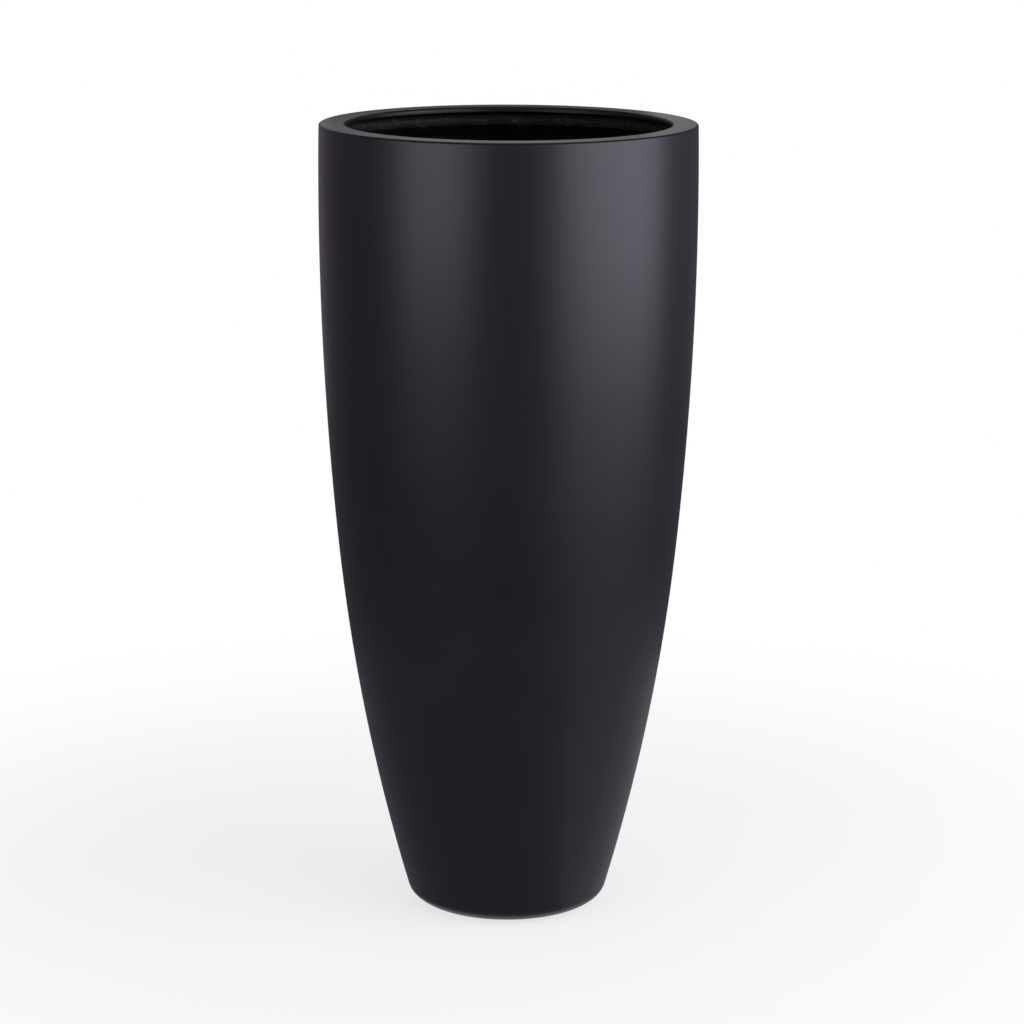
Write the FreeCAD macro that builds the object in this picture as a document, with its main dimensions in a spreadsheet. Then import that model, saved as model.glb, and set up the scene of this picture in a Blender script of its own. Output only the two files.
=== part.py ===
import FreeCAD, Part
import math
import os

import Sketcher

# Tall round fibreglass planter: a slow double-curved wall with a rolled foot, a flat hollow rim with a
# return lip, a bonded floor with a drain, a rubber drain plug and four rubber foot pads.
# Millimetres. +Z is up, and the origin is the centre of the base on the ground.

PAD_COUNT = 4
FIRST_PAD_ANGLE = 45.0

# Long curves of the wall are drawn as several tangent arcs of the same circle, ending at these parts of the
# height between the curve's own ends.
UPPER_ENDS = (0.333, 0.667)
LOWER_ENDS = (0.21, 0.43, 0.75)

doc = FreeCAD.newDocument("planter")
sizes = doc.addObject("Spreadsheet::Sheet", "sizes")

# Sizes that can be set by themselves.
DRIVING = {
    # overall form of the wall
    "planter_height": 800.0,
    "belly_radius": 187.7,          # widest outside radius
    "belly_height": 722.0,          # height of the widest ring
    "upper_curve": 3537.0,          # side-view radius of the upper wall
    "curve_change_height": 377.5,   # where the upper curve hands over to the lower one
    "lower_curve": 2041.0,          # side-view radius of the lower wall
    "foot_corner": 19.0,            # outside radius of the rolled foot
    "foot_land": 25.0,              # width of the flat ring turned in under the foot
    "wall_thickness": 4.5,
    # rim
    "rim_width": 26.0,
    "rim_thickness": 4.5,
    "rim_drop": 6.5,                # the rim ring meets the wall this far below the top
    "rim_outer_round": 2.2,
    "rim_inner_round": 3.0,
    "lip_depth": 8.0,
    "lip_thickness": 4.0,
    # strips of glass mat over the two bonded joints
    "strip_thickness": 2.5,
    "strip_edge": 1.0,              # the strips feather out to this thickness
    "strip_feather": 8.0,           # over this length
    "rim_strip_width": 12.0,        # under the rim
    "rim_strip_drop": 36.0,         # down the wall from the rim's underside
    "rim_strip_fill": 6.0,          # resin slope in the corner
    "floor_strip_reach": 20.0,      # inwards over the floor
    "floor_strip_rise": 45.0,       # up the wall
    "floor_strip_fill": 10.0,
    # floor and drain
    "floor_thickness": 6.0,
    "floor_fall": 2.0,              # from the joint strip down to the drain seat
    "drain_radius": 12.5,
    "drain_seat_width": 10.0,
    # drain plug
    "plug_head_width": 7.0,         # how far the head laps over the drain's edge
    "plug_head_thickness": 4.0,
    "plug_head_chamfer": 1.5,
    "plug_tail": 2.0,               # how far the shank stands below the floor
    "plug_taper": 1.0,              # the shank's end is this much smaller in radius
    # foot pads
    "pad_width": 16.0,
    "pad_thickness": 3.0,
    "pad_chamfer": 0.5,
    "pad_margin": 2.0,              # from the land's inner edge
    # clearances
    "bond_gap": 0.3,                # resin line between bonded curved faces
    "plug_gap": 0.3,                # round the plug's shank
}

# Sizes that follow from those.
DERIVED = {
    # the upper curve is centred at (upper_centre, belly_height)
    "upper_centre": "belly_radius - upper_curve",
    "change_sine": "(belly_height - curve_change_height) / upper_curve",
    "change_cosine": "sqrt(1 - change_sine ^ 2)",
    # the lower curve is tangent to the upper one at the change height
    "lower_centre": "upper_centre + (upper_curve - lower_curve) * change_cosine",
    "lower_centre_height": "belly_height - (upper_curve - lower_curve) * change_sine",
    # the foot corner is tangent to the lower curve and to the foot's flat ring
    "corner_height": "pad_thickness + foot_corner",
    "corner_sine": "(lower_centre_height - corner_height) / (lower_curve - foot_corner)",
    "corner_cosine": "sqrt(1 - corner_sine ^ 2)",
    "corner_place": "lower_centre + (lower_curve - foot_corner) * corner_cosine",
    "land_place": "corner_place - foot_land",
    "land_top": "pad_thickness + wall_thickness",
    # rim
    "joint_height": "planter_height - rim_drop",
    "top_outer_radius": "upper_centre + sqrt(upper_curve ^ 2 - (planter_height - belly_height) ^ 2)",
    "opening_radius": "top_outer_radius - rim_width",
    "hollow_height": "planter_height - rim_thickness",
    "lip_height": "planter_height - lip_depth",
    "rim_round_sine": "(planter_height - rim_outer_round - belly_height) / (upper_curve - rim_outer_round)",
    "rim_round_cosine": "sqrt(1 - rim_round_sine ^ 2)",
    "rim_round_place": "upper_centre + (upper_curve - rim_outer_round) * rim_round_cosine",
    # floor
    "floor_radius": "corner_place - bond_gap",
    "floor_top": "land_top + floor_thickness",
    "drain_seat_radius": "drain_radius + plug_head_width + drain_seat_width",
    "drain_seat_height": "floor_thickness - floor_fall",
    "floor_strip_place": "floor_radius - floor_strip_reach",
    # strips
    "inner_upper_curve": "upper_curve - wall_thickness",
    "inner_lower_curve": "lower_curve - wall_thickness",
    "inner_corner": "foot_corner - wall_thickness",
    "strip_upper_curve": "inner_upper_curve - bond_gap",
    "strip_lower_curve": "inner_lower_curve - bond_gap",
    "strip_corner": "inner_corner - bond_gap",
    "rim_strip_low": "hollow_height - rim_strip_drop",
    "floor_strip_high": "floor_top + floor_strip_rise",
    # plug and pads
    "plug_radius": "drain_radius - plug_gap",
    "plug_head_radius": "drain_radius + plug_head_width",
    "plug_length": "drain_seat_height + plug_tail",
    "plug_place": "land_top + drain_seat_height",
    "pad_place": "land_place + pad_margin + pad_width / 2",
}


def fill_sheet():
    """Driving sizes go in as plain numbers, the others as formulas of them."""
    row = 1
    for alias, value in DRIVING.items():
        sizes.set(f"A{row}", alias)
        sizes.set(f"B{row}", str(value))
        sizes.setAlias(f"B{row}", alias)
        row += 1
    for alias, formula in DERIVED.items():
        sizes.set(f"A{row}", alias)
        sizes.set(f"B{row}", "=" + formula)
        sizes.setAlias(f"B{row}", alias)
        row += 1
    doc.recompute()


def from_sheet(formula):
    """The same formula as an object outside the sheet has to write it."""
    words = []
    for word in formula.replace("(", "( ").replace(")", " )").split():
        words.append("sizes." + word if word in DRIVING or word in DERIVED else word)
    return " ".join(words)


def value_of(formula):
    return float(sizes.evalExpression(from_sheet(formula)))


def upper_wall(curve, height):
    """Radius, at a height, of a face that runs with the wall's upper curve."""
    return f"upper_centre + sqrt( {curve} ^ 2 - ( {height} - belly_height ) ^ 2 )"


def lower_wall(curve, height):
    """Radius, at a height, of a face that runs with the wall's lower curve."""
    return f"lower_centre + sqrt( {curve} ^ 2 - ( {height} - lower_centre_height ) ^ 2 )"


UPPER_CENTRE = ("upper_centre", "belly_height")
LOWER_CENTRE = ("lower_centre", "lower_centre_height")
CORNER_CENTRE = ("corner_place", "corner_height")


def change_point(curve):
    """Where the two curves of a face that runs with the wall meet."""
    return (f"lower_centre + {curve} * change_cosine", f"lower_centre_height - {curve} * change_sine")


def corner_point(curve):
    """Where a face that runs with the wall meets the foot's corner."""
    return (f"lower_centre + {curve} * corner_cosine", f"lower_centre_height - {curve} * corner_sine")


def upper_ends(curve):
    """Ends of the arcs along the upper curve, from the change of curve up to the rim's joint."""
    places = [f"curve_change_height + {part} * ( joint_height - curve_change_height )" for part in UPPER_ENDS]
    return [(upper_wall(curve, f"( {place} )"), place, (curve, UPPER_CENTRE)) for place in places]


def lower_ends(curve):
    """Ends of the arcs along the lower curve, from the ground up to the change of curve."""
    places = [f"{part} * curve_change_height" for part in LOWER_ENDS]
    return [(lower_wall(curve, f"( {place} )"), place, (curve, LOWER_CENTRE)) for place in places]


def arc_edge(start, end, centre):
    """Arc under half a circle from start to end, which Part keeps anticlockwise, and its first end."""
    first = math.atan2(start.y - centre.y, start.x - centre.x)
    last = math.atan2(end.y - centre.y, end.x - centre.x)
    forward = (last - first) % (2 * math.pi) < math.pi
    if not forward:
        first, last = last, first
    circle = Part.Circle(centre, FreeCAD.Vector(0, 0, 1), (start - centre).Length)
    return Part.ArcOfCircle(circle, first, last), forward


def plane_of(body, role):
    return [feature for feature in body.Origin.OriginFeatures if feature.Role == role][0]


def new_body(label):
    body = doc.addObject("PartDesign::Body", label)
    body.Label = label
    return body


def new_sketch(body, name, role):
    sketch = body.newObject("Sketcher::SketchObject", name)
    sketch.AttachmentSupport = (plane_of(body, role), [""])
    sketch.MapMode = "FlatFace"
    return sketch


def hold(sketch, kind, edge, end, formula):
    """Ties one coordinate of an edge's end, or keeps it on the axis where the formula is 0."""
    if formula == "0":
        axis = -2 if kind == "DistanceX" else -1
        sketch.addConstraint(Sketcher.Constraint("PointOnObject", edge, end, axis))
        return
    index = sketch.addConstraint(Sketcher.Constraint(kind, edge, end, value_of(formula)))
    sketch.setExpression(f"Constraints[{index}]", from_sheet(formula))


def section(body, name, outline):
    """Closed outline in the body's XZ plane, turned about Z.

    Each entry is (radius, height, edge): edge describes the run to the next corner and is None for a
    straight one, or (curve radius, centre) for an arc. All are formulas of the sheet's sizes.
    """
    sketch = new_sketch(body, name, "XZ_Plane")
    corners = [FreeCAD.Vector(value_of(radius), value_of(height), 0) for radius, height, edge in outline]
    ends = []
    for number, (radius, height, edge) in enumerate(outline):
        start = corners[number]
        end = corners[(number + 1) % len(corners)]
        if edge is None:
            sketch.addGeometry(Part.LineSegment(start, end))
            ends.append((1, 2))
            continue
        curve, (centre_radius, centre_height) = edge
        centre = FreeCAD.Vector(value_of(centre_radius), value_of(centre_height), 0)
        arc, forward = arc_edge(start, end, centre)
        sketch.addGeometry(arc)
        ends.append((1, 2) if forward else (2, 1))
    for number, (radius, height, edge) in enumerate(outline):
        before = number - 1 if number else len(outline) - 1
        first = ends[number][0]
        sketch.addConstraint(Sketcher.Constraint("Coincident", before, ends[before][1], number, first))
        hold(sketch, "DistanceX", number, first, radius)
        hold(sketch, "DistanceY", number, first, height)
        if edge is not None:
            index = sketch.addConstraint(Sketcher.Constraint("Radius", number, value_of(edge[0])))
            sketch.setExpression(f"Constraints[{index}]", from_sheet(edge[0]))
    turned = body.newObject("PartDesign::Revolution", name + "_turned")
    turned.Profile = sketch
    turned.ReferenceAxis = (sketch, ["V_Axis"])
    turned.Angle = 360.0
    doc.recompute()
    return turned


def make_body_shell():
    body = new_body("body_shell")
    outline = [
        (upper_wall("upper_curve", "joint_height"), "joint_height", ("upper_curve", UPPER_CENTRE)),
        *reversed(upper_ends("upper_curve")),
        (*change_point("lower_curve"), ("lower_curve", LOWER_CENTRE)),
        *reversed(lower_ends("lower_curve")),
        (*corner_point("lower_curve"), ("foot_corner", CORNER_CENTRE)),
        ("corner_place", "pad_thickness", None),
        ("land_place", "pad_thickness", None),
        ("land_place", "land_top", None),
        ("corner_place", "land_top", ("inner_corner", CORNER_CENTRE)),
        (*corner_point("inner_lower_curve"), ("inner_lower_curve", LOWER_CENTRE)),
        *lower_ends("inner_lower_curve"),
        (*change_point("inner_lower_curve"), ("inner_upper_curve", UPPER_CENTRE)),
        *upper_ends("inner_upper_curve"),
        (upper_wall("inner_upper_curve", "joint_height"), "joint_height", None),
    ]
    section(body, "wall", outline)
    return body


def make_rim_ring():
    """Flat rim: an outer leg that stands on the wall, a top plate and a return lip, hollow between."""
    body = new_body("rim_ring")
    round_centre = ("rim_round_place", "planter_height - rim_outer_round")
    lip_round_centre = ("opening_radius + rim_inner_round", "planter_height - rim_inner_round")
    outline = [
        (upper_wall("upper_curve", "joint_height"), "joint_height", ("upper_curve", UPPER_CENTRE)),
        ("upper_centre + upper_curve * rim_round_cosine", "belly_height + upper_curve * rim_round_sine",
         ("rim_outer_round", round_centre)),
        ("rim_round_place", "planter_height", None),
        ("opening_radius + rim_inner_round", "planter_height", ("rim_inner_round", lip_round_centre)),
        ("opening_radius", "planter_height - rim_inner_round", None),
        ("opening_radius", "lip_height", None),
        ("opening_radius + lip_thickness", "lip_height", None),
        ("opening_radius + lip_thickness", "hollow_height", None),
        (upper_wall("inner_upper_curve", "hollow_height"), "hollow_height",
         ("inner_upper_curve", UPPER_CENTRE)),
        (upper_wall("inner_upper_curve", "joint_height"), "joint_height", None),
    ]
    section(body, "rim", outline)
    return body


def make_rim_joint_strip():
    """Glass mat in the corner under the rim, over the joint and down the wall."""
    body = new_body("rim_joint_strip")
    face = "strip_upper_curve - strip_thickness"
    edge_face = "strip_upper_curve - strip_edge"
    fill_height = "hollow_height - strip_thickness - rim_strip_fill"
    fill_radius = upper_wall(f"( {face} )", f"( {fill_height} )")
    outer_radius = upper_wall("strip_upper_curve", "hollow_height")
    feather_height = "rim_strip_low + strip_feather"
    outline = [
        (outer_radius, "hollow_height", None),
        (f"{outer_radius} - rim_strip_width", "hollow_height", None),
        (f"{outer_radius} - rim_strip_width", "hollow_height - strip_edge", None),
        (f"{fill_radius} - rim_strip_fill", "hollow_height - strip_thickness", None),
        (fill_radius, fill_height, (face, UPPER_CENTRE)),
        (upper_wall(f"( {face} )", f"( {feather_height} )"), feather_height, None),
        (upper_wall(f"( {edge_face} )", "rim_strip_low"), "rim_strip_low", None),
        (upper_wall("strip_upper_curve", "rim_strip_low"), "rim_strip_low",
         ("strip_upper_curve", UPPER_CENTRE)),
    ]
    section(body, "rim_strip", outline)
    return body


def make_floor_disc():
    """Floor on the foot land: level under the joint strip, then falling to a flat drain seat."""
    body = new_body("floor_disc")
    outline = [
        ("drain_radius", "0", None),
        ("floor_radius", "0", None),
        ("floor_radius", "floor_thickness", None),
        ("floor_strip_place", "floor_thickness", None),
        ("drain_seat_radius", "drain_seat_height", None),
        ("drain_radius", "drain_seat_height", None),
    ]
    section(body, "floor", outline)
    body.setExpression("Placement.Base.z", from_sheet("land_top"))
    return body


def make_floor_joint_strip():
    """Glass mat over the floor's edge, round the foot corner and up the wall."""
    body = new_body("floor_joint_strip")
    face = "strip_lower_curve - strip_thickness"
    edge_face = "strip_lower_curve - strip_edge"
    fill_height = "floor_top + strip_thickness + floor_strip_fill"
    fill_radius = lower_wall(f"( {face} )", f"( {fill_height} )")
    feather_height = "floor_strip_high - strip_feather"
    outline = [
        ("floor_strip_place", "floor_top", None),
        ("corner_place + sqrt( strip_corner ^ 2 - ( corner_height - floor_top ) ^ 2 )", "floor_top", None),
        (*corner_point("strip_lower_curve"), ("strip_lower_curve", LOWER_CENTRE)),
        (lower_wall("strip_lower_curve", "floor_strip_high"), "floor_strip_high", None),
        (lower_wall(f"( {edge_face} )", "floor_strip_high"), "floor_strip_high", None),
        (lower_wall(f"( {face} )", f"( {feather_height} )"), feather_height, (face, LOWER_CENTRE)),
        (fill_radius, fill_height, None),
        (f"{fill_radius} - floor_strip_fill", "floor_top + strip_thickness", None),
        ("floor_strip_place + strip_feather", "floor_top + strip_thickness", None),
        ("floor_strip_place", "floor_top + strip_edge", None),
    ]
    section(body, "floor_strip", outline)
    return body


def make_drain_plug():
    """Rubber bung: a flat head on the drain seat and a tapered shank through the floor."""
    body = new_body("drain_plug")
    outline = [
        ("0", "0 - plug_length", None),
        ("plug_radius - plug_taper", "0 - plug_length", None),
        ("plug_radius", "0", None),
        ("plug_head_radius", "0", None),
        ("plug_head_radius", "plug_head_thickness - plug_head_chamfer", None),
        ("plug_head_radius - plug_head_chamfer", "plug_head_thickness", None),
        ("0", "plug_head_thickness", None),
    ]
    section(body, "plug", outline)
    body.setExpression("Placement.Base.z", from_sheet("plug_place"))
    return body


def make_foot_pad(number):
    """Square rubber pad in the middle of the foot land, with its lower edges broken."""
    body = new_body(f"foot_pad_{number}")
    angle = FIRST_PAD_ANGLE + (number - 1) * 360.0 / PAD_COUNT
    body.Placement = FreeCAD.Placement(FreeCAD.Vector(), FreeCAD.Rotation(FreeCAD.Vector(0, 0, 1), angle))
    body.setExpression("Placement.Base.x", from_sheet(f"pad_place * cos( {angle} deg )"))
    body.setExpression("Placement.Base.y", from_sheet(f"pad_place * sin( {angle} deg )"))
    near = "0 - pad_width / 2"
    far = "pad_width / 2"
    corners = [(near, near), (far, near), (far, far), (near, far)]
    sketch = new_sketch(body, f"pad_{number}_outline", "XY_Plane")
    points = [FreeCAD.Vector(value_of(along), value_of(across), 0) for along, across in corners]
    for place, point in enumerate(points):
        sketch.addGeometry(Part.LineSegment(point, points[(place + 1) % len(points)]))
    for place, (along, across) in enumerate(corners):
        before = place - 1 if place else len(corners) - 1
        sketch.addConstraint(Sketcher.Constraint("Coincident", before, 2, place, 1))
        hold(sketch, "DistanceX", place, 1, along)
        hold(sketch, "DistanceY", place, 1, across)
    block = body.newObject("PartDesign::Pad", f"pad_{number}_block")
    block.Profile = sketch
    block.setExpression("Length", from_sheet("pad_thickness"))
    doc.recompute()
    lower_edges = []
    for edge_number, edge in enumerate(block.Shape.Edges, 1):
        if edge.BoundBox.ZMax < block.Shape.BoundBox.Center.z:
            lower_edges.append(f"Edge{edge_number}")
    broken = body.newObject("PartDesign::Chamfer", f"pad_{number}_broken_edges")
    broken.Base = (block, lower_edges)
    broken.setExpression("Size", from_sheet("pad_chamfer"))
    return body


def check(bodies):
    """Stops before anything is written if a feature failed or a sub-part is not a sound solid."""
    for item in doc.Objects:
        if "Invalid" in item.State or "Error" in item.State:
            raise RuntimeError(f"{item.Label} failed: {item.State}")
        if item.isDerivedFrom("Sketcher::SketchObject") and item.solve() != 0:
            raise RuntimeError(f"sketch {item.Label} does not solve")
    for body in bodies:
        shape = body.Shape
        if shape.isNull() or not shape.isValid() or len(shape.Solids) != 1:
            raise RuntimeError(f"{body.Label} is not one valid solid")


def write(bodies):
    os.makedirs("parts", exist_ok=True)
    for body in bodies:
        box = body.Shape.optimalBoundingBox()
        print(f"{body.Label}: {body.Shape.Volume / 1000:.1f} cm3, z {box.ZMin:.2f} to {box.ZMax:.2f}, "
              f"width {box.XLength:.2f}")
        body.Shape.exportStep(f"parts/{body.Label}.step")


fill_sheet()
made = [
    make_body_shell(),
    make_rim_ring(),
    make_rim_joint_strip(),
    make_floor_disc(),
    make_floor_joint_strip(),
    make_drain_plug(),
]
for pad_number in range(1, PAD_COUNT + 1):
    made.append(make_foot_pad(pad_number))
doc.recompute()
check(made)
write(made)
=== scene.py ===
import math

import bmesh
import bpy
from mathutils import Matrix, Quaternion, Vector, noise


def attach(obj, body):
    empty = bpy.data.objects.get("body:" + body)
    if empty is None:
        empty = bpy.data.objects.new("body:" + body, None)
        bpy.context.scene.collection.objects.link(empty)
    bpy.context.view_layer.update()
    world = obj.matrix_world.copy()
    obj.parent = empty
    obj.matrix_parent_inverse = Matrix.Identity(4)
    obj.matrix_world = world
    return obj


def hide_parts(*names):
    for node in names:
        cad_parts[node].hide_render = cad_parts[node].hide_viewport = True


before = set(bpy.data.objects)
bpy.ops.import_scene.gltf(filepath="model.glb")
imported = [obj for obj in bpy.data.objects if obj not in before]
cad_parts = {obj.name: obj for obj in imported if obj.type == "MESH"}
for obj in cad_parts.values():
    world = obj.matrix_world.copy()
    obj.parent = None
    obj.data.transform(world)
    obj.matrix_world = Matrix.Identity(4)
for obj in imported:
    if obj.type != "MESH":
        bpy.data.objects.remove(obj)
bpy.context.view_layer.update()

# Tall round planter in satin black paint, with a rough laminate inside. Metres, in the frame of the CAD:
# +Z up, the origin at the centre of the base on the ground.

# ---------------------------------------------------------------- driving dimensions, as in the CAD

HEIGHT = 0.8
BELLY_RADIUS = 0.1877
BELLY_HEIGHT = 0.722
UPPER_CURVE = 3.537
CHANGE_HEIGHT = 0.3775
LOWER_CURVE = 2.041
FOOT_CORNER = 0.019
FOOT_LAND = 0.025
WALL = 0.0045

RIM_WIDTH = 0.026
RIM_THICKNESS = 0.0045
RIM_DROP = 0.0065
RIM_OUTER_ROUND = 0.0022
RIM_INNER_ROUND = 0.003
LIP_DEPTH = 0.005               # as the photo shows it; the CAD keeps 8 mm
LIP_THICKNESS = 0.004

STRIP = 0.0025                  # strips of glass mat over the two joints
STRIP_EDGE = 0.001
STRIP_FEATHER = 0.008
RIM_STRIP_WIDTH = 0.012
RIM_STRIP_DROP = 0.036
RIM_STRIP_ROLL = 0.0065         # radius of the rolled mat that fills the corner under the rim
RIM_STRIP_ROLL_DEPTH = 0.0155   # from the top of the rim down to the middle of the roll
RIM_STRIP_ROLL_FOOT = 0.0155    # from there down to where the roll has run out into the wall
ROLL_UNDER = 0.6                # radians that the roll goes on below its middle
FLOOR_STRIP_REACH = 0.020
FLOOR_STRIP_RISE = 0.045
FLOOR_STRIP_FILL = 0.010

FLOOR_THICKNESS = 0.006
FLOOR_FALL = 0.002
DRAIN_RADIUS = 0.0125
DRAIN_SEAT_WIDTH = 0.010

PLUG_HEAD_WIDTH = 0.007
PLUG_HEAD_THICKNESS = 0.004
PLUG_HEAD_ROUND = 0.0015
PLUG_TAIL = 0.002
PLUG_TAPER = 0.001
PLUG_DISH = 0.0006              # how far the middle of the head is hollowed

PAD_THICKNESS = 0.003
BOND_GAP = 0.0003
PLUG_GAP = 0.0003

# ---------------------------------------------------------------- steps of the meshes and depths of relief

AROUND = 400                    # steps round the axis
STRIP_AROUND = 1440
SEAM_ANGLE = -math.pi / 2       # where the sheet of each turned piece starts and ends, at the front
WALL_STEP = 0.0045
PAINT_STEP = 0.02
STRIP_STEP = 0.0008
FINE_STEP = 0.002               # from a floor's edge to its joint strip
FLOOR_STEP = 0.0012
LONG_HIDDEN_STEP = 0.009
HIDDEN_STEP = 0.004             # along faces that lie on another piece
LAND_STEP = 0.01
SHARP = math.radians(50)

WALL_RELIEF = 0.0009
STRIP_RELIEF = 0.0008
FLOOR_RELIEF = 0.0007
EDGE_WANDER = 0.004             # how far the hand-cut edge of a strip wanders
EDGE_WAVES = 35.0               # its waves per metre

# Each rough face reads its own layer of the noise.
WALL_LAYER = 1.0
RIM_STRIP_LAYER = 20.0
FLOOR_STRIP_LAYER = 30.0
FLOOR_LAYER = 40.0
RIM_EDGE_LAYER = 3.0
FLOOR_EDGE_LAYER = 9.0

# ---------------------------------------------------------------- worked out from them

UPPER_CENTRE = (BELLY_RADIUS - UPPER_CURVE, BELLY_HEIGHT)
CHANGE_ANGLE = -math.asin((BELLY_HEIGHT - CHANGE_HEIGHT) / UPPER_CURVE)
LOWER_CENTRE = (UPPER_CENTRE[0] + (UPPER_CURVE - LOWER_CURVE) * math.cos(CHANGE_ANGLE),
                UPPER_CENTRE[1] + (UPPER_CURVE - LOWER_CURVE) * math.sin(CHANGE_ANGLE))
CORNER_HEIGHT = PAD_THICKNESS + FOOT_CORNER
CORNER_ANGLE = -math.asin((LOWER_CENTRE[1] - CORNER_HEIGHT) / (LOWER_CURVE - FOOT_CORNER))
CORNER_CENTRE = (LOWER_CENTRE[0] + (LOWER_CURVE - FOOT_CORNER) * math.cos(CORNER_ANGLE), CORNER_HEIGHT)
LAND_INNER = CORNER_CENTRE[0] - FOOT_LAND
LAND_TOP = PAD_THICKNESS + WALL
WALL_TOP = HEIGHT - RIM_DROP
HOLLOW = HEIGHT - RIM_THICKNESS
FLOOR_TOP = LAND_TOP + FLOOR_THICKNESS
FLOOR_RADIUS = CORNER_CENTRE[0] - BOND_GAP
FLOOR_STRIP_PLACE = FLOOR_RADIUS - FLOOR_STRIP_REACH
DRAIN_SEAT_RADIUS = DRAIN_RADIUS + PLUG_HEAD_WIDTH + DRAIN_SEAT_WIDTH
DRAIN_SEAT_TOP = FLOOR_TOP - FLOOR_FALL


def wall_radius(height, inset=0.0):
    """Radius of the wall's outside at a height above the foot corner, or of a face inset from it."""
    centre, curve = (UPPER_CENTRE, UPPER_CURVE) if height > CHANGE_HEIGHT else (LOWER_CENTRE, LOWER_CURVE)
    return centre[0] + math.sqrt((curve - inset) ** 2 - (height - centre[1]) ** 2)


TOP_RADIUS = wall_radius(HEIGHT)
OPENING = TOP_RADIUS - RIM_WIDTH


# ---------------------------------------------------------------- outlines of (radius, height)

def arc(centre, radius, first, last, steps):
    """Points along an arc, from angle first to angle last, both ends included."""
    points = []
    for step in range(steps + 1):
        angle = first + (last - first) * step / steps
        points.append((centre[0] + radius * math.cos(angle), centre[1] + radius * math.sin(angle)))
    return points


def straight(start, end, step):
    """Points from start towards end, no further apart than step, without the end itself."""
    count = max(1, math.ceil(math.dist(start, end) / step))
    return [tuple(a + (b - a) * part / count for a, b in zip(start, end)) for part in range(count)]


def up_wall(low, high, inset, step):
    """Points up a face that runs with the wall, from the height low to the height high, both included."""
    count = max(1, math.ceil((high - low) / step))
    heights = [low + (high - low) * part / count for part in range(count + 1)]
    return [(wall_radius(height, inset), height) for height in heights]


def corner_point(inset):
    """Where a face that runs with the wall meets the foot's corner."""
    curve = LOWER_CURVE - inset
    return (LOWER_CENTRE[0] + curve * math.cos(CORNER_ANGLE),
            LOWER_CENTRE[1] + curve * math.sin(CORNER_ANGLE))


# ---------------------------------------------------------------- meshes

def turned(name, outline, materials, slot_of=None, around=AROUND, rough=None, flat=False):
    """Closed outline turned about Z. The outline runs anticlockwise with the radius to the right.

    slot_of(index) gives the material of the run that leaves outline point index. rough(index, radius,
    height, angle) gives a vertex its radius and height. The map "sheet" holds metres round the axis and
    along the outline, or X and Y where flat is true.
    """
    count = len(outline)
    verts = []
    for turn in range(around):
        angle = SEAM_ANGLE + 2 * math.pi * turn / around
        cosine, sine = math.cos(angle), math.sin(angle)
        for index, (radius, height) in enumerate(outline):
            if rough:
                radius, height = rough(index, radius, height, angle)
            verts.append((radius * cosine, radius * sine, height))
    faces = []
    for turn in range(around):
        here, there = turn * count, (turn + 1) % around * count
        for index in range(count):
            after = (index + 1) % count
            faces.append((here + index, there + index, there + after, here + after))
    mesh = bpy.data.meshes.new(name)
    mesh.from_pydata(verts, [], faces)
    for material in materials:
        mesh.materials.append(material)
    if slot_of:
        slots = [slot_of(index) for index in range(count)] * around
        mesh.polygons.foreach_set("material_index", slots)
    corners = flat_corners(verts, faces) if flat else round_corners(outline, around)
    mesh.uv_layers.new(name="sheet").uv.foreach_set("vector", corners)
    if min(radius for radius, height in outline) == 0:
        close_poles(mesh)
    mesh.shade_smooth()
    mesh.set_sharp_from_angle(angle=SHARP)
    piece = bpy.data.objects.new(name, mesh)
    bpy.context.scene.collection.objects.link(piece)
    piece.modifiers.new("even_normals", "WEIGHTED_NORMAL").keep_sharp = True
    return piece


def round_corners(outline, around):
    """Place of each face's corners on the sheet: metres round the axis and metres along the outline."""
    girth = 2 * math.pi * max(radius for radius, height in outline)
    lengths = [0.0]
    for index, point in enumerate(outline):
        lengths.append(lengths[-1] + math.dist(point, outline[(index + 1) % len(outline)]))
    corners = []
    for turn in range(around):
        here, there = girth * turn / around, girth * (turn + 1) / around
        for low, high in zip(lengths, lengths[1:]):
            corners += [here, low, there, low, there, high, here, high]
    return corners


def flat_corners(verts, faces):
    """Place of each face's corners on the sheet: X and Y."""
    corners = []
    for face in faces:
        for vertex in face:
            corners += verts[vertex][:2]
    return corners


def close_poles(mesh):
    """Joins the vertices that lie together on the axis."""
    work = bmesh.new()
    work.from_mesh(mesh)
    bmesh.ops.remove_doubles(work, verts=work.verts, dist=1e-7)
    work.to_mesh(mesh)
    work.free()


STRAND_TURNS = (0.3, 1.3, 2.4)  # radians: the directions of the strands that show as ridges
STRAND_LENGTHWISE = 45.0        # waves per metre along a strand and across it
STRAND_ACROSS = 330.0
SWELL = 70.0                    # waves per metre of the slower unevenness


def mat_depth(along, up, layer):
    """How deep the surface of a glass mat lies at a place on the sheet, from 0 to 1."""
    highest = 0.0
    for number, turn in enumerate(STRAND_TURNS):
        lengthwise = along * math.cos(turn) + up * math.sin(turn)
        across = up * math.cos(turn) - along * math.sin(turn)
        place = Vector((lengthwise * STRAND_LENGTHWISE, across * STRAND_ACROSS, layer + 7.0 * number))
        highest = max(highest, noise.noise(place))
    swell = noise.noise(Vector((along * SWELL, up * SWELL, layer - 5.0)))
    return min(1.0, max(0.0, 0.6 - 0.9 * highest - 0.5 * swell))


def hand_cut(along, layer):
    """How far a hand-cut edge has wandered at a place along it."""
    return EDGE_WANDER * (0.5 + 0.5 * noise.noise(Vector((along * EDGE_WAVES, 0, layer))))


# ---------------------------------------------------------------- materials

def new_material(name):
    material = bpy.data.materials.new(name)
    material.use_nodes = True
    nodes = material.node_tree.nodes
    return material, nodes, material.node_tree.links, nodes["Principled BSDF"]


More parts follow.
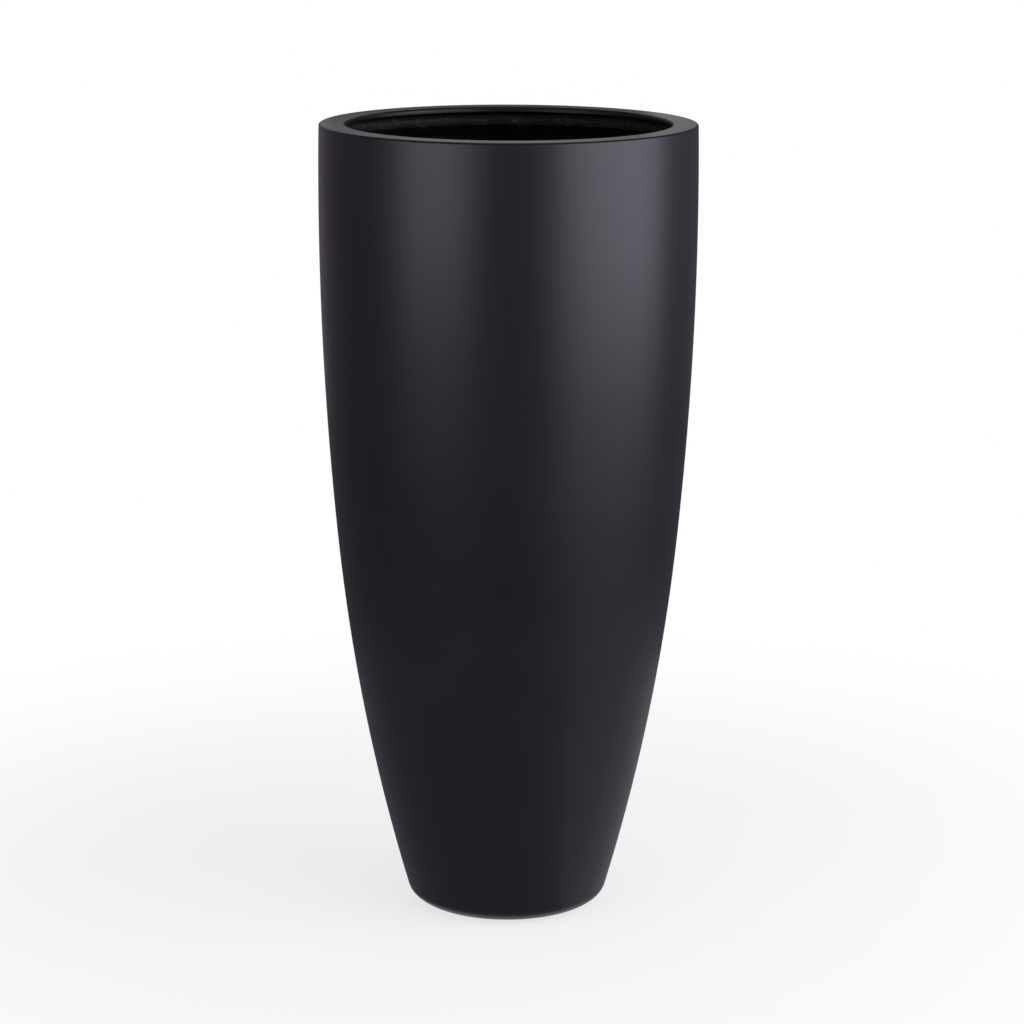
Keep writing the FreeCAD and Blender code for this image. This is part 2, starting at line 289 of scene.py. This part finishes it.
def add_noise(nodes, links, place, scale, detail):
    """Noise texture read at a place, and its height."""
    texture = nodes.new("ShaderNodeTexNoise")
    texture.inputs["Scale"].default_value = scale
    texture.inputs["Detail"].default_value = detail
    links.new(place, texture.inputs["Vector"])
    return texture.outputs["Fac"]


def add_range(nodes, links, value, source, target):
    """Value mapped from one range to another and held within it."""
    span = nodes.new("ShaderNodeMapRange")
    span.inputs["From Min"].default_value, span.inputs["From Max"].default_value = source
    span.inputs["To Min"].default_value, span.inputs["To Max"].default_value = target
    links.new(value, span.inputs["Value"])
    return span.outputs["Result"]


def add_ramp(nodes, links, value, stops):
    """Colour that goes through the stops of (position, colour)."""
    ramp = nodes.new("ShaderNodeValToRGB")
    elements = ramp.color_ramp.elements
    while len(elements) < len(stops):
        elements.new(1.0)
    for element, (position, colour) in zip(elements, stops):
        element.position = position
        element.color = (*colour, 1)
    links.new(value, ramp.inputs["Fac"])
    return ramp.outputs["Color"]


def add_math(nodes, links, operation, first, second):
    step = nodes.new("ShaderNodeMath")
    step.operation = operation
    links.new(first, step.inputs[0])
    links.new(second, step.inputs[1])
    return step.outputs["Value"]


def add_bump(nodes, links, height, strength, distance):
    bump = nodes.new("ShaderNodeBump")
    bump.inputs["Strength"].default_value = strength
    bump.inputs["Distance"].default_value = distance
    links.new(height, bump.inputs["Height"])
    return bump.outputs["Normal"]


PAINT_DARK = (0.0036, 0.0034, 0.0064)
PAINT_LIGHT = (0.0050, 0.0048, 0.0080)


def paint_material():
    """Satin black paint: almost even, with a faint cloudiness and a fine orange peel."""
    material, nodes, links, shader = new_material("satin_paint")
    place = nodes.new("ShaderNodeTexCoord").outputs["Object"]
    cloud = add_noise(nodes, links, place, 7.0, 4.0)
    colour = add_ramp(nodes, links, cloud, [(0.35, PAINT_DARK), (0.7, PAINT_LIGHT)])
    links.new(colour, shader.inputs["Base Color"])
    sheen = add_range(nodes, links, cloud, (0.3, 0.7), (0.385, 0.415))
    links.new(sheen, shader.inputs["Roughness"])
    peel = add_noise(nodes, links, place, 900.0, 2.0)
    links.new(add_bump(nodes, links, peel, 0.06, 0.0002), shader.inputs["Normal"])
    return material


def laminate_material(name, resin_shade, strand_shade, dry):
    """Raw laminate: black resin over chopped glass mat, whose dull strands show through in patches.

    dry, from 0 to 1, is how much of the strands lies bare where there is least resin and where there is most.
    """
    material, nodes, links, shader = new_material(name)
    sheet = nodes.new("ShaderNodeUVMap")
    sheet.uv_map = "sheet"
    place = nodes.new("ShaderNodeTexCoord").outputs["Object"]
    strands = None
    for number, turn in enumerate(STRAND_TURNS):
        lie = nodes.new("ShaderNodeMapping")
        lie.inputs["Location"].default_value = (3.1 * number, 1.7 * number, 0)
        lie.inputs["Rotation"].default_value = (0, 0, turn)
        lie.inputs["Scale"].default_value = (90, 900, 1)
        links.new(sheet.outputs["UV"], lie.inputs["Vector"])
        layer = add_noise(nodes, links, lie.outputs["Vector"], 1.0, 2.0)
        strands = add_math(nodes, links, "MAXIMUM", strands, layer) if strands else layer
    resin = add_noise(nodes, links, place, 45.0, 3.0)
    bare = add_range(nodes, links, resin, (0.38, 0.62), dry)
    shown = add_math(nodes, links, "MULTIPLY", add_range(nodes, links, strands, (0.5, 0.8), (0.0, 1.0)), bare)
    grain = add_noise(nodes, links, place, 600.0, 2.0)
    specks = add_range(nodes, links, grain, (0.48, 0.64), (0.15, 1.0))
    fibre = add_math(nodes, links, "MULTIPLY", shown, specks)
    middle = tuple(0.88 * resin_shade + 0.12 * part for part in strand_shade)
    colour = add_ramp(nodes, links, fibre, [(0.0, (resin_shade,) * 3), (0.3, middle), (0.8, strand_shade)])
    shader.inputs["Specular IOR Level"].default_value = 0.15
    links.new(colour, shader.inputs["Base Color"])
    links.new(add_range(nodes, links, shown, (0.0, 0.5), (0.42, 0.72)), shader.inputs["Roughness"])
    height = add_math(nodes, links, "ADD", strands, grain)
    links.new(add_bump(nodes, links, height, 0.5, 0.0006), shader.inputs["Normal"])
    return material


def rubber_material(name, shade):
    """Moulded rubber with a dusty bloom."""
    material, nodes, links, shader = new_material(name)
    place = nodes.new("ShaderNodeTexCoord").outputs["Object"]
    bloom = add_noise(nodes, links, place, 160.0, 5.0)
    dusty = (shade * 1.8, shade * 1.75, shade * 1.7)
    colour = add_ramp(nodes, links, bloom, [(0.35, (shade,) * 3), (0.75, dusty)])
    links.new(colour, shader.inputs["Base Color"])
    links.new(add_range(nodes, links, bloom, (0.3, 0.7), (0.65, 0.85)), shader.inputs["Roughness"])
    links.new(add_bump(nodes, links, bloom, 0.2, 0.0003), shader.inputs["Normal"])
    return material


PAINT = paint_material()
LAMINATE = laminate_material("raw_laminate", 0.020, (0.260, 0.262, 0.228), (0.25, 1.0))
BARE_MAT = laminate_material("bare_mat", 0.015, (0.260, 0.262, 0.228), (0.5, 1.0))
# A much darker copy of the raw laminate: painted shade, for the strip below the roll in the shade under the
# rim.
SHADED_MAT = laminate_material("painted_shade_mat", 0.0012, (0.040, 0.041, 0.034), (0.25, 1.0))
PLUG_RUBBER = rubber_material("plug_rubber", 0.02)
PAD_RUBBER = rubber_material("pad_rubber", 0.025)


# ---------------------------------------------------------------- pieces

def stand_for(piece, node, body):
    """Puts a piece in the place of a CAD node."""
    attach(piece, body)
    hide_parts(node)


def make_wall():
    """The side wall: painted outside and under the foot, raw laminate inside."""
    painted = [(LAND_INNER, LAND_TOP)]
    painted += straight((LAND_INNER, PAD_THICKNESS), (CORNER_CENTRE[0], PAD_THICKNESS), LAND_STEP)
    painted += arc(CORNER_CENTRE, FOOT_CORNER, -math.pi / 2, CORNER_ANGLE, 16)[:-1]
    painted += up_wall(corner_point(0.0)[1], WALL_TOP, 0.0, PAINT_STEP)
    raw = up_wall(corner_point(WALL)[1], WALL_TOP, WALL, WALL_STEP)
    raw.reverse()
    raw += arc(CORNER_CENTRE, FOOT_CORNER - WALL, CORNER_ANGLE, -math.pi / 2, 10)[1:]
    first_raw = len(painted)

    def rough(index, radius, height, angle):
        if index >= first_raw:
            radius += WALL_RELIEF * mat_depth((angle - SEAM_ANGLE) * radius, height, WALL_LAYER)
        return radius, height

    def slot_of(index):
        return int(index >= first_raw - 1)

    wall = turned("wall", painted + raw, [PAINT, LAMINATE], slot_of, rough=rough)
    stand_for(wall, "body_shell", "planter")


def make_rim():
    """The flat rim with its rounded edges and its return lip, hollow underneath."""
    round_height = HEIGHT - RIM_OUTER_ROUND
    lean = math.asin((round_height - BELLY_HEIGHT) / (UPPER_CURVE - RIM_OUTER_ROUND))
    outer_round = (UPPER_CENTRE[0] + (UPPER_CURVE - RIM_OUTER_ROUND) * math.cos(lean), round_height)
    inner_round = (OPENING + RIM_INNER_ROUND, HEIGHT - RIM_INNER_ROUND)
    outline = [(wall_radius(WALL_TOP), WALL_TOP)]
    outline += arc(outer_round, RIM_OUTER_ROUND, lean, math.pi / 2, 10)
    outline += arc(inner_round, RIM_INNER_ROUND, math.pi / 2, math.pi, 10)
    outline += [(OPENING, HEIGHT - LIP_DEPTH), (OPENING + LIP_THICKNESS, HEIGHT - LIP_DEPTH)]
    outline += [(OPENING + LIP_THICKNESS, HOLLOW), (wall_radius(HOLLOW, WALL), HOLLOW)]
    outline += [(wall_radius(WALL_TOP, WALL), WALL_TOP)]
    stand_for(turned("rim", outline, [PAINT]), "rim_ring", "planter")


def make_rim_strip():
    """Glass mat rolled into the corner under the rim and run down the wall, with a hand-cut lower edge."""
    bonded, face, edge = WALL + BOND_GAP, WALL + BOND_GAP + STRIP, WALL + BOND_GAP + STRIP_EDGE
    low = HOLLOW - RIM_STRIP_DROP
    feather = low + STRIP_FEATHER
    inner = wall_radius(HOLLOW, bonded) - RIM_STRIP_WIDTH
    roll_height = HEIGHT - RIM_STRIP_ROLL_DEPTH
    roll = (wall_radius(roll_height, face) + STRIP_EDGE, roll_height)
    roll_half = math.acos(STRIP_EDGE / RIM_STRIP_ROLL)
    roll_top = (roll[0] - STRIP_EDGE, roll_height + RIM_STRIP_ROLL * math.sin(roll_half))
    roll_foot = roll_height - RIM_STRIP_ROLL_FOOT
    hidden = up_wall(low, HOLLOW, bonded, LONG_HIDDEN_STEP) + [(inner, HOLLOW)]
    shown = straight((inner, HOLLOW - STRIP_EDGE), roll_top, STRIP_STEP)
    first_bare = len(hidden) + len(shown)
    shown += arc(roll, RIM_STRIP_ROLL, math.pi - roll_half, math.pi + ROLL_UNDER, 16)
    last_bare = len(hidden) + len(shown)
    shown += straight(shown[-1], (wall_radius(roll_foot, face), roll_foot), STRIP_STEP)[1:]
    shown += list(reversed(up_wall(feather, roll_foot, face, STRIP_STEP)))[:-1]
    shown += straight((wall_radius(feather, face), feather), (wall_radius(low, edge), low), STRIP_STEP)
    shown.append((wall_radius(low, edge), low))
    first_shown = len(hidden)

    def rough(index, radius, height, angle):
        along = (angle - SEAM_ANGLE) * TOP_RADIUS
        if height < feather:
            height += hand_cut(along, RIM_EDGE_LAYER) * (feather - height) / STRIP_FEATHER
        if index >= first_shown:
            radius += STRIP_RELIEF * mat_depth(along, height, RIM_STRIP_LAYER)
        return radius, height

    # The roll takes the bare mat. The strip below it takes the much darker copy, which is painted shade under
    # the rim.
    def slot_of(index):
        return int(first_bare <= index < last_bare)

    strip = turned("rim_strip", hidden + shown, [SHADED_MAT, BARE_MAT], slot_of, STRIP_AROUND, rough)
    stand_for(strip, "rim_joint_strip", "planter")


def make_floor():
    """Laminated floor on the foot land, with a ground flat seat round the drain."""
    edge = (FLOOR_RADIUS, FLOOR_TOP)
    shelf = (FLOOR_STRIP_PLACE, FLOOR_TOP)
    seat = (DRAIN_SEAT_RADIUS, DRAIN_SEAT_TOP)
    under_edge = (FLOOR_RADIUS, LAND_TOP)
    under = straight((DRAIN_RADIUS, LAND_TOP), under_edge, HIDDEN_STEP) + [under_edge]
    top = straight(edge, shelf, FINE_STEP) + straight(shelf, seat, FLOOR_STEP)
    top += [seat, (DRAIN_RADIUS, DRAIN_SEAT_TOP)]
    first_top = len(under)

    def rough(index, radius, height, angle):
        if index >= first_top and radius > DRAIN_SEAT_RADIUS:
            x, y = radius * math.cos(angle), radius * math.sin(angle)
            height -= FLOOR_RELIEF * mat_depth(x, y, FLOOR_LAYER)
        return radius, height

    floor = turned("floor_plate", under + top, [LAMINATE], rough=rough, flat=True)
    stand_for(floor, "floor_disc", "planter")


def make_floor_strip():
    """Glass mat over the floor's edge and up the wall, with hand-cut edges."""
    bonded, face, edge = WALL + BOND_GAP, WALL + BOND_GAP + STRIP, WALL + BOND_GAP + STRIP_EDGE
    corner = FOOT_CORNER - bonded
    high = FLOOR_TOP + FLOOR_STRIP_RISE
    feather = high - STRIP_FEATHER
    fill_height = FLOOR_TOP + STRIP + FLOOR_STRIP_FILL
    fill_radius = wall_radius(fill_height, face)
    fill_inner = (fill_radius - FLOOR_STRIP_FILL, FLOOR_TOP + STRIP)
    thick = (FLOOR_STRIP_PLACE + STRIP_FEATHER, FLOOR_TOP + STRIP)
    reach = CORNER_CENTRE[0] + math.sqrt(corner ** 2 - (CORNER_HEIGHT - FLOOR_TOP) ** 2)
    hidden = straight((FLOOR_STRIP_PLACE, FLOOR_TOP), (reach, FLOOR_TOP), HIDDEN_STEP) + [(reach, FLOOR_TOP)]
    hidden += up_wall(corner_point(bonded)[1], high, bonded, HIDDEN_STEP)
    shown = straight((wall_radius(high, edge), high), (wall_radius(feather, face), feather), STRIP_STEP)
    shown += list(reversed(up_wall(fill_height, feather, face, STRIP_STEP)))[:-1]
    shown += straight((fill_radius, fill_height), fill_inner, STRIP_STEP)
    shown += straight(fill_inner, thick, STRIP_STEP)
    shown += straight(thick, (FLOOR_STRIP_PLACE, FLOOR_TOP + STRIP_EDGE), STRIP_STEP)
    shown.append((FLOOR_STRIP_PLACE, FLOOR_TOP + STRIP_EDGE))
    first_shown = len(hidden)

    def rough(index, radius, height, angle):
        along = (angle - SEAM_ANGLE) * FLOOR_RADIUS
        nominal = height
        if nominal > feather:
            height -= hand_cut(along, FLOOR_EDGE_LAYER) * (nominal - feather) / STRIP_FEATHER
        if index >= first_shown and nominal > fill_height:
            radius += STRIP_RELIEF * mat_depth(along, height, FLOOR_STRIP_LAYER)
        elif index >= first_shown:
            height -= STRIP_RELIEF * mat_depth(along, radius, FLOOR_STRIP_LAYER)
        return radius, height

    strip = turned("floor_strip", hidden + shown, [LAMINATE], around=STRIP_AROUND // 2, rough=rough)
    stand_for(strip, "floor_joint_strip", "planter")


def make_plug():
    """Rubber bung: a rounded head, hollowed a little in the middle, and a tapered shank."""
    shank = DRAIN_RADIUS - PLUG_GAP
    head = DRAIN_RADIUS + PLUG_HEAD_WIDTH
    low, seat, top = LAND_TOP - PLUG_TAIL, DRAIN_SEAT_TOP, DRAIN_SEAT_TOP + PLUG_HEAD_THICKNESS
    shoulder = (head - PLUG_HEAD_ROUND, top - PLUG_HEAD_ROUND)
    dish_edge = head - 2 * PLUG_HEAD_ROUND
    outline = [(0.0, low)] + straight((shank - PLUG_TAPER, low), (shank, seat), 0.001)
    outline += [(shank, seat), (head, seat)]
    outline += arc(shoulder, PLUG_HEAD_ROUND, 0.0, math.pi / 2, 8)
    for part in range(11):
        share = 1 - part / 10
        outline.append((dish_edge * share, top - PLUG_DISH * (1 - share ** 2)))
    plug = turned("plug", outline, [PLUG_RUBBER], around=128, flat=True)
    stand_for(plug, "drain_plug", "plug")


def dress(node, material):
    """Gives a CAD piece that stays as it is its material."""
    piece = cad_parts[node]
    piece.data.materials.clear()
    piece.data.materials.append(material)


# ---------------------------------------------------------------- camera, ground and light

CAMERA_PLACE = Vector((0.0, -3.0632, 1.1132))
CAMERA_PITCH = math.radians(12.982)
CAMERA_YAW = math.radians(0.082)
CAMERA_ROLL = math.radians(-0.159)
CAMERA_LENS = 109.2

SKY_LIGHT = 0.55
GROUND_REACH = 40.0
GROUND_DROP = 0.0002            # keeps the ground clear of the pads' undersides
GROUND_WHITE = 0.92
SHADOW_SHARE = 0.3              # how much of the ground's real light and shadow the eye sees by the planter
SHADOW_REACH = 0.35             # and up to this distance, fading out at the next one
WHITE_FROM = 1.1

CARD_INNER = 0.1
CARD_LIFT = 0.0005
NEAR_FLOOR = 0.8
CARD_WALL = 2.6
CARD_SPLIT = 2.4                # height where the grey wall turns dark
CARD_TOP = 6.0
BACK_GAP = 8.0                  # degrees to each side of straight behind, where the wall is open
BRIGHT_FLOOR = (40.0, 172.0)
NEAR_COLOUR = (0.205, 0.198, 0.240)
BRIGHT_COLOUR = (0.430, 0.392, 0.445)
FAR_COLOUR = (0.110, 0.104, 0.124)
WALL_COLOUR = (0.178, 0.148, 0.188)
LEFT_COLOUR = (0.340, 0.310, 0.340)
LEFT_LAST = -140.0              # azimuth where the lighter left end of the grey wall stops
DARK_COLOUR = (0.01, 0.01, 0.01)
CEILING_COLOUR = (0.32, 0.32, 0.33)
FLAG_COLOUR = (0.08, 0.08, 0.08)
FLAG_LOW = (0.46, 0.80)         # radius and height of the edges of the dark flag behind the rim
FLAG_HIGH = (0.46, 0.90)
FLAG_AZIMUTHS = (160.0, 206.0)

BOX_DISTANCE = 2.0              # soft boxes: azimuth, half angle, foot, top, radiance and colour
BOX_RIGHT = (64.2, 33.3, 0.2, 1.7, 3.55, (0.90, 0.87, 1.0))
BOX_LEFT = (-42.2, 20.9, 0.43, 1.15, 3.5, (0.83, 0.86, 1.0))


def make_camera():
    data = bpy.data.cameras.new("camera")
    data.lens = CAMERA_LENS
    data.sensor_width = 36.0
    camera = bpy.data.objects.new("camera", data)
    bpy.context.scene.collection.objects.link(camera)
    camera.location = CAMERA_PLACE
    ahead = Vector((math.sin(CAMERA_YAW) * math.cos(CAMERA_PITCH),
                    math.cos(CAMERA_YAW) * math.cos(CAMERA_PITCH),
                    -math.sin(CAMERA_PITCH)))
    camera.rotation_mode = "QUATERNION"
    camera.rotation_quaternion = Quaternion(ahead, CAMERA_ROLL) @ ahead.to_track_quat("-Z", "Y")
    bpy.context.scene.camera = camera


def seen_by_eye(nodes, links):
    """Output that is 1 for camera, glossy and transmitted rays, and 0 for the rays that light things."""
    path = nodes.new("ShaderNodeLightPath")
    gloss = add_math(nodes, links, "ADD", path.outputs["Is Camera Ray"], path.outputs["Is Glossy Ray"])
    seen = add_math(nodes, links, "ADD", gloss, path.outputs["Is Transmission Ray"])
    seen.node.use_clamp = True
    return seen


def make_world():
    """White to the eye and in the gloss; its plain light on the things in it is weaker."""
    world = bpy.data.worlds.new("studio")
    bpy.context.scene.world = world
    world.use_nodes = True
    nodes, links = world.node_tree.nodes, world.node_tree.links
    strength = add_range(nodes, links, seen_by_eye(nodes, links), (0.0, 1.0), (SKY_LIGHT, 1.0))
    links.new(strength, nodes["Background"].inputs["Strength"])
    nodes["Background"].inputs["Color"].default_value = (1, 1, 1, 1)


def make_ground():
    """Plain white ground, which keeps the planter's shadow beside it and is plain white further off."""
    mesh = bpy.data.meshes.new("ground")
    reach, level = GROUND_REACH, -GROUND_DROP
    corners = [(-reach, -reach, level), (reach, -reach, level), (reach, reach, level), (-reach, reach, level)]
    mesh.from_pydata(corners, [], [(0, 1, 2, 3)])
    ground = bpy.data.objects.new("ground", mesh)
    bpy.context.scene.collection.objects.link(ground)
    material, nodes, links, shader = new_material("ground")
    shader.inputs["Base Color"].default_value = (*[GROUND_WHITE] * 3, 1)
    shader.inputs["Roughness"].default_value = 1.0
    shader.inputs["Specular IOR Level"].default_value = 0.0
    place = nodes.new("ShaderNodeTexCoord").outputs["Object"]
    away = nodes.new("ShaderNodeVectorMath")
    away.operation = "LENGTH"
    links.new(place, away.inputs[0])
    far = add_range(nodes, links, away.outputs["Value"], (SHADOW_REACH, WHITE_FROM), (1 - SHADOW_SHARE, 1.0))
    far.node.interpolation_type = "SMOOTHSTEP"
    white = add_math(nodes, links, "MULTIPLY", far, seen_by_eye(nodes, links))
    glow = nodes.new("ShaderNodeEmission")
    both = nodes.new("ShaderNodeMixShader")
    links.new(white, both.inputs["Fac"])
    links.new(shader.outputs["BSDF"], both.inputs[1])
    links.new(glow.outputs["Emission"], both.inputs[2])
    links.new(both.outputs["Shader"], nodes["Material Output"].inputs["Surface"])
    mesh.materials.append(material)


def polar(radius, azimuth, height):
    """Azimuth in degrees from the camera's side, -Y, towards +X."""
    angle = math.radians(azimuth)
    return (radius * math.sin(angle), -radius * math.cos(angle), height)


def make_card(name, low, high, azimuths, colour):
    """A sheet swept round the set between two (radius, height) edges, seen by nothing but the gloss."""
    first, last = azimuths
    steps = max(2, round(abs(last - first) / 5))
    verts = []
    for step in range(steps + 1):
        azimuth = first + (last - first) * step / steps
        verts.append(polar(low[0], azimuth, low[1]))
        verts.append(polar(high[0], azimuth, high[1]))
    faces = [(2 * step, 2 * step + 2, 2 * step + 3, 2 * step + 1) for step in range(steps)]
    mesh = bpy.data.meshes.new(name)
    mesh.from_pydata(verts, [], faces)
    card = bpy.data.objects.new(name, mesh)
    bpy.context.scene.collection.objects.link(card)
    material, nodes, links, shader = new_material(name)
    shader.inputs["Base Color"].default_value = (0, 0, 0, 1)
    shader.inputs["Specular IOR Level"].default_value = 0.0
    shader.inputs["Emission Color"].default_value = (*colour, 1)
    shader.inputs["Emission Strength"].default_value = 1.0
    mesh.materials.append(material)
    card.visible_camera = False
    card.visible_diffuse = False
    card.visible_shadow = False


def make_cards():
    """Grey studio round the set: a near floor, lighter on the right, a far floor, a wall and a ceiling.

    The wall leaves a gap behind the planter, where its gloss takes in the same white that the camera sees.
    """
    left_edge, right_edge = -180 + BACK_GAP, 180 - BACK_GAP
    near_low, near_high = (CARD_INNER, CARD_LIFT), (NEAR_FLOOR, CARD_LIFT)
    far_high = (CARD_WALL, CARD_LIFT)
    split, top = (CARD_WALL, CARD_SPLIT), (CARD_WALL, CARD_TOP)
    bright_first, bright_last = BRIGHT_FLOOR
    all_round = (-180, 180)
    make_card("card_floor_left", near_low, near_high, (left_edge, bright_first), NEAR_COLOUR)
    make_card("card_floor_right", near_low, near_high, (bright_first, bright_last), BRIGHT_COLOUR)
    make_card("card_floor_back", near_low, near_high, (right_edge, 180 + BACK_GAP), NEAR_COLOUR)
    make_card("card_floor_far", near_high, far_high, all_round, FAR_COLOUR)
    make_card("card_wall_left", far_high, split, (left_edge, LEFT_LAST), LEFT_COLOUR)
    make_card("card_wall", far_high, split, (LEFT_LAST, right_edge), WALL_COLOUR)
    make_card("card_wall_top", split, top, all_round, DARK_COLOUR)
    make_card("card_ceiling", (0.0, CARD_TOP), top, all_round, CEILING_COLOUR)
    make_card("card_flag", FLAG_LOW, FLAG_HIGH, FLAG_AZIMUTHS, FLAG_COLOUR)


def make_box(name, azimuth, half_angle, low, high, radiance, colour):
    """Upright soft box that faces the axis, spanning half_angle to each side as seen from there."""
    width = 2 * BOX_DISTANCE * math.tan(math.radians(half_angle))
    height = high - low
    data = bpy.data.lights.new(name, "AREA")
    data.shape = "RECTANGLE"
    data.size = width
    data.size_y = height
    data.energy = radiance * math.pi * width * height
    data.color = colour
    lamp = bpy.data.objects.new(name, data)
    bpy.context.scene.collection.objects.link(lamp)
    lamp.location = polar(BOX_DISTANCE, azimuth, (low + high) / 2)
    lamp.rotation_mode = "QUATERNION"
    lamp.rotation_quaternion = (-Vector(polar(1.0, azimuth, 0.0))).to_track_quat("-Z", "Y")
    lamp.visible_camera = False


make_camera()
make_world()
make_ground()
make_cards()
make_box("box_right", *BOX_RIGHT)
make_box("box_left", *BOX_LEFT)

make_wall()
make_rim()
make_rim_strip()
make_floor()
make_floor_strip()
make_plug()
for number in range(1, 5):
    dress(f"foot_pad_{number}", PAD_RUBBER)

bpy.context.scene.view_settings.view_transform = "Standard"
